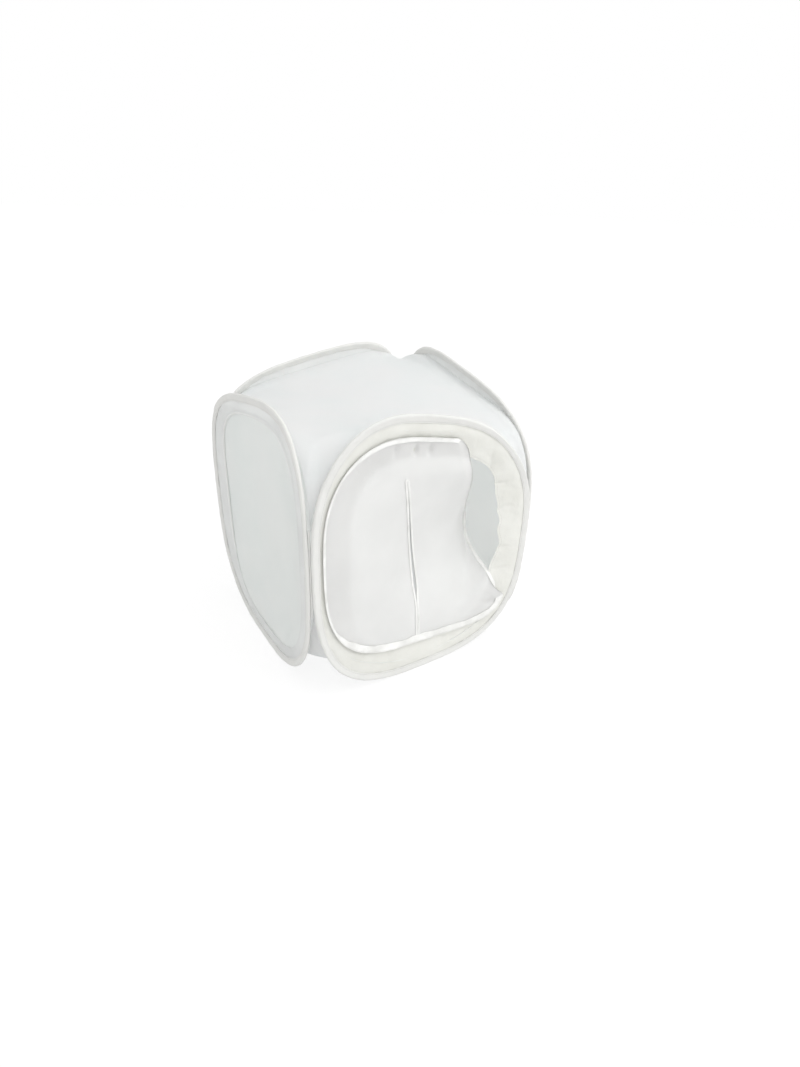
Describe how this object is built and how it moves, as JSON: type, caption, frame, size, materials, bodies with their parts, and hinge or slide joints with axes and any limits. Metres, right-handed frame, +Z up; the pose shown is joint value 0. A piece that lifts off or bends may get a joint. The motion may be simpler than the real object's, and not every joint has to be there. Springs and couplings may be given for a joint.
{
  "type": "light tent cube",
  "caption": "Pop-up cube tent of white diffusing cloth on sprung wire hoops, with a peel-off front cover and a vertical lens slit.",
  "frame": {"origin": "centre of the cube's footprint, on the table under the flat bottom cloth", "axes": "+Z up, the front with its cover and lens slit faces -Y, +X to the right when looking at the front"},
  "size_m": [0.5998, 0.5998, 0.6598],
  "materials": {
    "hoop_wire": "drawn spring steel",
    "ferrule_metal": "crimped plain",
    "sleeve_cloth": "folded woven polyester",
    "border_cloth": "heavier woven polyester",
    "diffuser_cloth": "thin translucent nylon",
    "cover_cloth": "thin translucent nylon",
    "tape_nylon": "hook and loop tape"
  },
  "bodies": {
    "front_frame": {"front_hoop": "hoop_wire", "front_hoop_ferrule": "ferrule_metal", "front_hoop_sleeve": "sleeve_cloth", "front_border": "border_cloth", "border_loop_tape": "tape_nylon", "top_panel": "diffuser_cloth", "bottom_panel": "diffuser_cloth", "front_left_seam": "sleeve_cloth", "front_right_seam": "sleeve_cloth"},
    "left_wall": {"left_hoop": "hoop_wire", "left_hoop_ferrule": "ferrule_metal", "left_hoop_sleeve": "sleeve_cloth", "left_border": "border_cloth", "left_panel": "diffuser_cloth", "back_left_seam": "sleeve_cloth"},
    "right_wall": {"right_hoop": "hoop_wire", "right_hoop_ferrule": "ferrule_metal", "right_hoop_sleeve": "sleeve_cloth", "right_border": "border_cloth", "right_panel": "diffuser_cloth"},
    "back_wall": {"back_hoop": "hoop_wire", "back_hoop_ferrule": "ferrule_metal", "back_hoop_sleeve": "sleeve_cloth", "back_border": "border_cloth", "back_panel": "diffuser_cloth", "back_right_seam": "sleeve_cloth", "backdrop_loop_tape": "tape_nylon"},
    "cover": {"front_cover": "cover_cloth", "front_cover_hem": "border_cloth", "slit_binding": "border_cloth", "cover_hook_tape": "tape_nylon"}
  },
  "joints": [
    {"name": "left_fold", "type": "hinge", "parent": "front_frame", "child": "left_wall", "pos_m": [-0.2908, -0.2908, 0.32], "axis": [0, 0, -1], "range_deg": [0, 75], "deforming": ["top_panel", "bottom_panel"]},
    {"name": "right_fold", "type": "hinge", "parent": "front_frame", "child": "right_wall", "pos_m": [0.2908, -0.2908, 0.32], "axis": [0, 0, -1], "range_deg": [0, 75]},
    {"name": "back_fold", "type": "hinge", "parent": "left_wall", "child": "back_wall", "pos_m": [-0.2908, 0.2908, 0.32], "axis": [0, 0, -1], "range_deg": [-75, 0]},
    {"name": "cover_peel", "type": "hinge", "parent": "front_frame", "child": "cover", "pos_m": [-0.266, -0.2977, 0.32], "axis": [0, 0, -1], "range_deg": [0, 110]}
  ],
  "couplings": [
    {"joint": "right_fold", "follows": "left_fold", "ratio": 1},
    {"joint": "back_fold", "follows": "left_fold", "ratio": -1}
  ]
}
